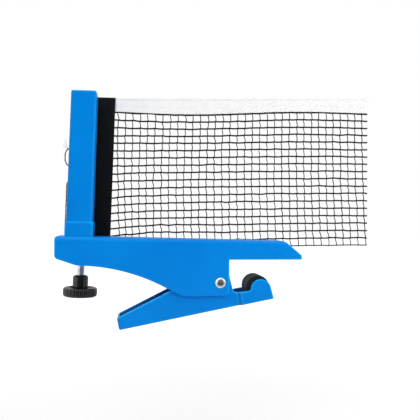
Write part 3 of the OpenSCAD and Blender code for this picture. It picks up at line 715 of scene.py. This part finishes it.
# %% [markdown]
# Between two knots a row strays by a tenth of a millimetre. A column is looped round each row,
# so just below the knot it steps aside before it joins. The lowest row is the hem, a paler
# string. Each string is a list of points, which the sweeping recipe makes round.

# %% Rows and columns
TUCK, WAVER = 1.5, 0.12  # how far a row runs into the sleeve, and how far strings stray
LOW_BEND, HIGH_BEND, HOOK = 0.45, 0.84, 0.6  # where a column bends, and how far aside it steps
STUB = 1  # how far a column runs on over the top row


def between(a, b, share, aside):
    return tuple(a[k] + (b[k] - a[k]) * share + aside[k] for k in range(3))


def row_path(i):
    u, w = on_row(i, -TUCK)
    stops = [(u, NET_BACK, w - hang(i, 0)), *[knots[i, j] for j in range(COLUMNS)]]
    u, w = on_row(i, row_length(i))
    stops.append((u, NET_BACK, w - hang(i, row_length(i))))
    line = [stops[0]]
    for a, b in zip(stops, stops[1:]):
        line += [between(a, b, 0.5, (0, 0, chance.gauss(-WAVER, WAVER))), b]
    return [on_post(*p) for p in line]


def column_path(j):
    line = [knots[0, j]]
    for i in range(1, ROWS):
        low, high = knots[i - 1, j], knots[i, j]
        line += [between(low, high, LOW_BEND, (chance.gauss(0, WAVER), 0, 0)),
                 between(low, high, HIGH_BEND, (-HOOK, 0, 0)), high]
    u, y, w = knots[ROWS - 1, j]
    return [on_post(*p) for p in [*line, (u, y, w + STUB)]]


print("spans of string:", ROWS * (COLUMNS + 1), "along and", (ROWS - 1) * COLUMNS, "up")


# %% Strings
ROW_R, COLUMN_R, HEM_R, KNOT_R = 0.85, 0.5, 0.65, 0.95
strings = grow("net_strings", paths([row_path(i) for i in range(1, ROWS)]), sweep, row_string,
               Radius=ROW_R * MM, Sides=6)
hem = grow("net_hem", paths([row_path(0)]), sweep, hem_string, Radius=HEM_R * MM, Sides=8)
columns = grow("net_columns", paths([column_path(j) for j in range(COLUMNS)]), sweep,
               column_string, Radius=COLUMN_R * MM, Sides=6)
with bpy.context.temp_override(active_object=strings, selected_editable_objects=[strings, columns]):
    bpy.ops.object.join()
carry(strings, "post", "net_string", "net_mesh")
carry(hem, "post", "net_string")

# %% [markdown]
# Each crossing is a small knot. A tied one would take hundreds of faces, and there are 646, so
# a second recipe sets a lump of a few faces on every crossing, scaled by chance.

# %% Knots on the crossings
def knotting():
    tree, start = group("a lump on every point", Radius=0.8 * MM, Seed=3, Material=None)
    lump = add(tree, "GeometryNodeMeshUVSphere", Segments=6, Rings=4,
               Radius=start.outputs["Radius"])
    size = add(tree, "FunctionNodeRandomValue", data_type="FLOAT_VECTOR",
               Seed=start.outputs["Seed"], in_0=(0.8, 0.8, 0.8), in_1=(1.2, 1.0, 1.1))
    lumps = add(tree, "GeometryNodeInstanceOnPoints", Points=start.outputs["Geometry"],
                Instance=lump.outputs[0], Scale=size.outputs[0])
    return close(tree, start, lumps)


points = bpy.data.meshes.new("knot places")
points.from_pydata([tuple(on_post(*p)) for p in knots.values()], [], [])
knot_lumps = grow("net_knots", put("knot places", points), knotting(), row_string,
                  Radius=KNOT_R * MM, Seed=3)
carry(knot_lumps, "post", "net_string")

# %% [markdown]
# ## Cut cloth
# The band and the sleeve are single sheets that are folded double. A simulation drapes loose
# cloth well, but these are sewn and held stretched, so each is made as the cut cloth: a section
# line that follows the fold, run along the piece in small steps. Solidify gives the cloth its
# thickness. A little noise makes it slack, and where it is sewn it is pinched.

# %% A folded sheet
def folded(name, section, stations, place, keep, thickness, material):
    """section: points across the fold. stations: positions along the piece. place: gives a
    point in the frame from a section point and a station. keep: says which cells are cloth."""
    points = [place(p, s) for s in stations for p in section]
    across = len(section)
    faces = [
        (i * across + k, i * across + k + 1, (i + 1) * across + k + 1, (i + 1) * across + k)
        for i in range(len(stations) - 1) for k in range(across - 1)
        if keep(section[k], section[k + 1], (stations[i] + stations[i + 1]) / 2)
    ]
    made = piece(name, points, faces, material)
    wall = made.modifiers.new("thickness", "SOLIDIFY")
    wall.thickness = thickness * MM
    wall.offset = 0
    bpy.context.view_layer.update()
    made.data = bpy.data.meshes.new_from_object(
        made.evaluated_get(bpy.context.evaluated_depsgraph_get()))
    made.modifiers.clear()
    made.data.shade_smooth()
    return made


print("folded turns a section and stations into cloth")

# %% Slack and seams
WAVES = 14, 11  # mm: how far apart the waves in slack cloth lie, along and up
PINCHED = 0.5  # mm: how far from a seam it still pulls


def slack(u, w, size):
    """A small wave in cloth, the same every time."""
    return size * noise.noise(Vector((u / WAVES[0], w / WAVES[1], 3.7)))


def pinch(distance):
    """1 on a seam, and 0 away from it."""
    return math.exp(-(distance / PINCHED) ** 2)


print("a millimetre off its seam, cloth is pinched by", round(pinch(1), 2))

# %% [markdown]
# The band is a tape that is folded over the net's top string. The fold has room for a cord, so
# the top is fuller, and two rows of stitches pinch the tape below it. A long rounded box would
# be simpler, but the folded tape follows the top row of the net and can be as uneven.

# %% Top band
BAND, SPREAD, CLOTH = 13.2, 1.35, 0.38
SEAMS = (11.0, 4.9)
BAND_STEPS, BAND_STATIONS = 26, 130
BAND_HALF, CORD_ROOM, BAND_SEWN = 0.46, 0.32, 0.12
BAND_UP, FOLD, BAND_SLACK = 0.7, 0.35, 0.25


def band_half(h):
    """Half the band's thickness at a height above its lower edge."""
    full = BAND_HALF
    if h > SEAMS[0]:
        full += CORD_ROOM * math.sin(math.pi * min(1, (h - SEAMS[0]) / (BAND - SEAMS[0])))
    return full - BAND_SEWN * min(1, sum(pinch(h - seam) for seam in SEAMS))


def place_band(p, s):
    side, h = p
    u, w = on_row(ROWS - 1, s)
    w += BAND_UP - hang(ROWS - 1, s) * (1 - h / BAND) + h * (1 + s / BAND_LONG * SPREAD / BAND)
    return on_post(u, NET_BACK + side * band_half(h) + slack(u, w, BAND_SLACK), w)


front = [(-1, (BAND - FOLD) * k / BAND_STEPS) for k in range(BAND_STEPS + 1)]
band_section = front + [(0, BAND)] + [(1, h) for _, h in reversed(front)]
band_stations = [BAND_LONG * i / BAND_STATIONS for i in range(BAND_STATIONS + 1)]
band = folded("band_tape", band_section, band_stations, place_band, lambda a, b, s: True, CLOTH,
              tape)
carry(band, "post", "white_fabric", "top_band")

# %% [markdown]
# The sleeve is canvas. Between the post's two lugs it is folded round a steel rod, and above and
# below them the fold is cut away. Its top edge is cut level, across the leaning post. A tube and
# a flap would do, but one folded sheet has no joint between them.

# %% Sleeve's cut
ROD_U, FOLD_R, WEB_HALF = 5.0, 2.74, 0.5
LUG_LOW, LUG_HIGH = 13.5, 129.7
TAB_U, SLEEVE_LOW, SLEEVE_TOP = 10.5, -15.5, POST_TOP
INNER_SEAM, OUTER_SEAM = 9.6, 25.3
FLAT_STEP, FLAT_FROM = 0.5, 8.3
NECK_U, NECK_HALF = 7.7, 0.9
WRAP_FROM, WRAP_ROUND, WRAP_STEPS = 40, 280, 24  # degrees, degrees, steps
flat_part = [EDGE - FLAT_STEP * k for k in range(int((EDGE - FLAT_FROM) / FLAT_STEP) + 1)]
wrap_angles = [math.radians(-WRAP_FROM - WRAP_ROUND * k / WRAP_STEPS)
               for k in range(WRAP_STEPS + 1)]
wrap = [(ROD_U + FOLD_R * math.cos(a), FOLD_R * math.sin(a)) for a in wrap_angles]
sleeve_section = ([(u, -WEB_HALF) for u in flat_part] + [(NECK_U, -NECK_HALF)] + wrap
                  + [(NECK_U, NECK_HALF)] + [(u, WEB_HALF) for u in reversed(flat_part)])
print("sleeve's section:", len(sleeve_section), "points")


# %% Sleeve
INNER_SEWN, OUTER_SEWN = 0.35, 0.3
SLEEVE_SLACK, SLACK_FROM, SLACK_OVER = 0.5, 9, 6
SLEEVE_STATIONS, SEAM_STEPS = 100, 60


def place_sleeve(p, s):
    u, y = p
    sewn = 1 - INNER_SEWN * pinch(u - INNER_SEAM) - OUTER_SEWN * pinch(u - OUTER_SEAM)
    wave = slack(u * 0.6, s, SLEEVE_SLACK) * min(1, max(0, (u - SLACK_FROM) / SLACK_OVER))
    cut = level(u) * max(0, (s - LUG_HIGH) / (SLEEVE_TOP - LUG_HIGH))
    return on_post(u, NET_BACK + y * sewn + wave, s + cut)


def is_canvas(a, b, s):
    return LUG_LOW < s < LUG_HIGH or min(a[0], b[0]) > TAB_U


sleeve_stations = {SLEEVE_LOW + (SLEEVE_TOP - SLEEVE_LOW) * i / SLEEVE_STATIONS
                   for i in range(SLEEVE_STATIONS + 1)}
sleeve_stations = sorted(sleeve_stations | {LUG_LOW, LUG_HIGH})
sleeve = folded("sleeve_canvas", sleeve_section, sleeve_stations, place_sleeve, is_canvas, 0.5,
                canvas)
carry(sleeve, "post", "black_fabric", "net_sleeve")

# %% [markdown]
# ## Stitches
# A lockstitch leaves a dash of thread every three millimetres on both faces. A bump could hint at
# it, but real dashes catch the light. The recipe spaces points along the seam and turns a small
# bead along the path at each.

# %% The stitching recipe
def stitching():
    tree, start = group("stitches along a seam", Pitch=3 * MM, Length=2.2 * MM,
                        Thread=0.4 * MM, Material=None)
    spaced = add(tree, "GeometryNodeCurveToPoints", mode="LENGTH",
                 Curve=start.outputs["Geometry"], Length=start.outputs["Pitch"])
    bead = add(tree, "GeometryNodeMeshUVSphere", Segments=6, Rings=5, Radius=0.5)
    size = add(tree, "ShaderNodeCombineXYZ", X=start.outputs["Thread"],
               Y=start.outputs["Thread"], Z=start.outputs["Length"])
    beads = add(tree, "GeometryNodeInstanceOnPoints", Points=spaced.outputs["Points"],
                Instance=bead.outputs[0], Rotation=spaced.outputs["Rotation"],
                Scale=size.outputs[0])
    return close(tree, start, beads)


stitch = stitching()
print("stitching recipe:", len(stitch.nodes), "nodes")


# %% Thread
def sewing_thread(name, base, shade):
    """Spun polyester thread, whose fuzz catches light in specks half a millimetre wide."""
    made, tree, surface, place = finish(name, base, 0.75, Sheen_Weight=0.1)
    fuzz = add(tree, "ShaderNodeTexNoise", Vector=place, Scale=per_metre(0.5), Detail=2.0)
    add(tree, "ShaderNodeValToRGB", surface.inputs["Base Color"], Fac=fuzz.outputs["Fac"],
        stops=((0.35, shade), (0.6, base)))
    return made


white_thread = sewing_thread("white polyester thread", "#F2F2F0", "#E6E6E3")
black_thread = sewing_thread("black polyester thread", "#1E1E20", "#101012")
print("two threads")


# %% Seams
BAND_PROUD, SLEEVE_PROUD = 0.2, 0.3


def band_seam(side, h):
    return [place_band((side, h), s) + Vector((0, side * BAND_PROUD * MM, 0))
            for s in band_stations]


def sleeve_seam(side, u, low, high):
    heights = [low + (high - low) * i / SEAM_STEPS for i in range(SEAM_STEPS + 1)]
    return [place_sleeve((u, side * WEB_HALF), w) + Vector((0, side * SLEEVE_PROUD * MM, 0))
            for w in heights]


band_lines = [band_seam(side, h) for side in (-1, 1) for h in SEAMS]
band_stitches = grow("band_stitches", paths(band_lines), stitch, white_thread, Thread=0.34 * MM)
sleeve_lines = [sleeve_seam(side, INNER_SEAM, LUG_LOW, LUG_HIGH) for side in (-1, 1)]
sleeve_lines += [sleeve_seam(side, OUTER_SEAM, SLEEVE_LOW + 1, SLEEVE_TOP - 1)
                 for side in (-1, 1)]
sleeve_stitches = grow("sleeve_stitches", paths(sleeve_lines), stitch, black_thread)
carry(band_stitches, "post", "white_fabric")
carry(sleeve_stitches, "post", "black_fabric")

# %% [markdown]
# ## The tension cord
# The cord comes out of the sleeve, crosses the post's open back, loops out through two holes in
# the outer wall, goes in and out again and ends at the foot. It is plied from a black and a
# pale strand. One tube with stripes would have a straight edge, so two strands wind about the
# construction's own route.

# %% The cord's route
CORD_Y, CORD_U = -8, -12.65
CORD_ROUTE = [
    (1.95, 20, 122), (-1, 19.7, 121.6), (-5, 14, 118), (-6.5, 7, 112), (-6.8, 2, 104),
    (-6.8, 1, 97), (-7, -2, 90), (-7.2, -6.5, 83.4), (CORD_U + 2.9, CORD_Y, 81.5),
    (CORD_U - 0.1, CORD_Y, 80.8), (CORD_U - 2.2, CORD_Y, 77.5), (CORD_U - 2.6, CORD_Y, 73.4),
    (CORD_U - 2.1, CORD_Y, 69.2), (CORD_U - 0.1, CORD_Y, 66.0), (CORD_U + 2.9, CORD_Y, 65.3),
    (CORD_U + 4.8, -7.4, 62.6), (CORD_U + 5.3, -7, 58), (CORD_U + 4.8, -7.4, 53.6),
    (CORD_U + 2.9, CORD_Y, 51.0), (CORD_U + 0.2, CORD_Y, 49), (CORD_U - 0.05, CORD_Y, 44),
    (CORD_U, CORD_Y, 36), (CORD_U - 0.1, CORD_Y, 26), (CORD_U, CORD_Y, 13.25),
]


def smooth(stops, n):
    """A Catmull-Rom curve through given points, n steps between each two."""
    line = []
    for i in range(len(stops) - 1):
        a, b, c, d = (Vector(stops[min(max(i + k, 0), len(stops) - 1)]) for k in (-1, 0, 1, 2))
        for t in (s / n for s in range(n)):
            line.append(0.5 * (2 * b + (c - a) * t + (2 * a - 5 * b + 4 * c - d) * t * t
                               + (3 * b - a - 3 * c + d) * t ** 3))
    return [*line, Vector(stops[-1])]


centre_line = [on_post(*p) for p in smooth(CORD_ROUTE, 10)]


# %% Cord
def wound(line, offset, pitch, phase):
    """A strand that winds round a line."""
    strand, travelled = [], 0.0
    side = Vector((0, 1, 0))
    for i, p in enumerate(line):
        tangent = (line[min(i + 1, len(line) - 1)] - line[max(i - 1, 0)]).normalized()
        side = (side - tangent * side.dot(tangent)).normalized()
        travelled += (p - line[max(i - 1, 0)]).length
        angle = phase + 2 * math.pi * travelled / pitch
        strand.append(p + offset * (side * math.cos(angle) + tangent.cross(side) * math.sin(angle)))
    return strand


black_ply = plied("black cord ply", "#2A2A2C", "#121213", 1.0)
pale_ply = plied("pale cord ply", "#C6C1B8", "#8C877E", 1.0)
STRAND_OUT, STRAND_R, LAY = 0.34, 0.36, 4.5
strands = [wound(centre_line, STRAND_OUT * MM, LAY * MM, phase) for phase in (0, math.pi)]
cord = grow("tension_cord_twist", paths(strands), sweep, black_ply, Radius=STRAND_R * MM,
            Sides=8)
cord.data.materials.append(pale_ply)
for face in cord.data.polygons[len(cord.data.polygons) // 2:]:  # the second strand
    face.material_index = 1
carry(cord, "post", "cord", "tension_cord")

# %% [markdown]
# Where the cord rubs on the rim of its hole, a few fibres have broken and stand out. Hair could
# do for hundreds of them, but four are quickly swept as the cord is. A real fibre is far too thin
# to show, so each is drawn a quarter of a millimetre thick.

# %% Frayed fibres
FIBRES = [(-3.2, 8.4), (-1.9, 9.6), (-4.6, 4.4), (-5.6, 1.8)]  # how far out and up each goes
FRAY_W, FIBRE_R = 80.6, 0.12


def fibre(reach, rise):
    """A bent fibre from the rim of the upper hole."""
    start = Vector((CORD_U - 0.2, CORD_Y - 0.5, FRAY_W))
    tip = start + Vector((reach, chance.uniform(-2, 1), rise))
    middle = (start + tip) / 2 + Vector((-0.7, 0, 0.5))
    return [on_post(*p) for p in smooth([start, middle, tip], 5)]


fray = grow("cord_fray", paths([fibre(*f) for f in FIBRES]), sweep, pale_ply,
            Radius=FIBRE_R * MM, Sides=5)
carry(fray, "post", "cord")

# %% [markdown]
# The net is more hole than string, so its area is the string's own: half its skin, because a
# closed piece counts as two layers.

# %% [markdown]
# ## Floor and light
# The floor is a white sheet well below the clamp. Camera rays see it a touch brighter than it
# is, and pure white further out, so that it has no horizon but still takes a soft shadow. The
# studio round it is a pale tent with a dark front, where the camera stands. Shiny things mirror
# both, which gives a rod its stripes and a plastic its deep colour. The tent's back is grey, so
# that a top face seen at a low angle keeps its colour. The floor is as dark as the tent in
# mirrors, and from below one sees through it. A picture of a real studio would do as well, but
# this needs no file.

# %% How bright the tent is
FRONT = (0.12, -0.99, -0.04)
DARK_FRONT, GREY_BACK = 0.1, 0.4
DARK_CONE, GREY_CONE = (0.46, 0.76), (-0.5, -0.8)  # cosines where each begins and is full
MATT_LEVEL, MIRROR_LEVEL = 0.44, 1.6  # how bright matt and mirroring surfaces see the tent


def tent(tree, towards):
    """The tent's brightness in a direction: dark to the front, grey to the back, else white."""
    ahead = add(tree, "ShaderNodeVectorMath", operation="DOT_PRODUCT", in_0=towards, in_1=FRONT)
    front, back = [
        add(tree, "ShaderNodeMapRange", Value=ahead.outputs["Value"], From_Min=cone[0],
            From_Max=cone[1], To_Min=1.0, To_Max=full).outputs["Result"]
        for cone, full in ((DARK_CONE, DARK_FRONT), (GREY_CONE, GREY_BACK))
    ]
    return add(tree, "ShaderNodeMath", operation="MULTIPLY", in_0=front, in_1=back).outputs[0]


print("mirrors see the tent at", MIRROR_LEVEL, "and its front at",
      round(MIRROR_LEVEL * DARK_FRONT, 2))


# %% Floor
FLOOR_Z, FLOOR_HALF = -0.2, 6
corners = [(-1, -1), (1, -1), (1, 1), (-1, 1)]
floor_mesh = bpy.data.meshes.new("floor")
floor_mesh.from_pydata([(x * FLOOR_HALF, y * FLOOR_HALF, FLOOR_Z) for x, y in corners], [],
                       [(0, 1, 2, 3)])
floor = put("floor", floor_mesh)
print("floor at", FLOOR_Z, "m")

# %% The floor's paper
FADE = 0.35, 1.3  # metres from the middle, where it begins to whiten and is white
NEAR_GLOW = 0.66
paper, tree, surface, place = finish("matt white paper", "#F4F4F4", 0.9, Specular_IOR_Level=0.0)
away = add(tree, "ShaderNodeVectorMath", operation="LENGTH", in_0=place)
strength = add(tree, "ShaderNodeMapRange", Value=away.outputs["Value"], From_Min=FADE[0],
               From_Max=FADE[1], To_Min=NEAR_GLOW, To_Max=1.0)
glow = add(tree, "ShaderNodeEmission", Color=(1, 1, 1, 1), Strength=strength.outputs["Result"])
pale = add(tree, "ShaderNodeBsdfDiffuse", Color=colour("#A8A8A8"))
seen = add(tree, "ShaderNodeAddShader", in_0=glow.outputs[0], in_1=pale.outputs[0])
outward = add(tree, "ShaderNodeVectorMath", operation="NORMALIZE", in_0=place)
mirror = add(tree, "ShaderNodeEmission", Color=(1, 1, 1, 1),
             Strength=tent(tree, outward.outputs["Vector"]))
ray = add(tree, "ShaderNodeLightPath")
lit = add(tree, "ShaderNodeMixShader", Fac=ray.outputs["Is Glossy Ray"],
          in_1=surface.outputs[0], in_2=mirror.outputs[0])
below = add(tree, "ShaderNodeNewGeometry").outputs["Backfacing"]
clear = add(tree, "ShaderNodeBsdfTransparent")
looked_at = add(tree, "ShaderNodeMixShader", Fac=below, in_1=seen.outputs[0],
                in_2=clear.outputs[0])
add(tree, "ShaderNodeMixShader", tree.nodes["Material Output"].inputs["Surface"],
    Fac=ray.outputs["Is Camera Ray"], in_1=lit.outputs[0], in_2=looked_at.outputs[0])
floor.data.materials.append(paper)
print("the floor is white from", FADE[1], "m out")

# %% The tent
world = bpy.data.worlds.new("pale studio")
bpy.context.scene.world = world
world.use_nodes = True
sky = world.node_tree
towards = add(sky, "ShaderNodeTexCoord").outputs["Generated"]
sky_ray = add(sky, "ShaderNodeLightPath")
share = add(sky, "ShaderNodeMapRange", Value=sky_ray.outputs["Is Glossy Ray"],
            To_Min=MATT_LEVEL, To_Max=MIRROR_LEVEL)
round_it = add(sky, "ShaderNodeMath", operation="MULTIPLY", in_0=tent(sky, towards),
               in_1=share.outputs["Result"])
level_of = add(sky, "ShaderNodeMix", data_type="FLOAT", Factor=sky_ray.outputs["Is Camera Ray"],
               in_2=round_it.outputs[0], in_3=1.0)
sky.nodes["Background"].inputs["Color"].default_value = (1, 1, 1, 1)
sky.links.new(level_of.outputs[0], sky.nodes["Background"].inputs["Strength"])
print("matt surfaces see the tent at", MATT_LEVEL)


# %% Lamps
def lamp(name, place, aim, size, power):
    """A rectangular soft lamp. Mirrors see the tent, not the lamp."""
    data = bpy.data.lights.new(name, "AREA")
    data.shape = "RECTANGLE"
    data.size, data.size_y = size
    data.energy = power
    made = put(name, data)
    made.visible_glossy = False
    made.location = place
    made.rotation_euler = (Vector(aim) - Vector(place)).to_track_quat("-Z", "Y").to_euler()


lamp("key", (-0.5, -1.1, 1.1), (0, 0, 0.03), (1.0, 0.8), 7.0)
lamp("fill", (1.2, -0.9, 0.4), (0, 0, 0.03), (0.9, 0.9), 11.4)
lamp("back", (0.1, 1.2, 1.0), (0, 0, 0.05), (1.2, 0.6), 3.9)
lamp("top", (0.1, -0.3, 1.3), (0, 0, 0.03), (1.2, 0.8), 5.3)
bpy.context.scene.view_settings.view_transform = "Standard"
print("four lamps")
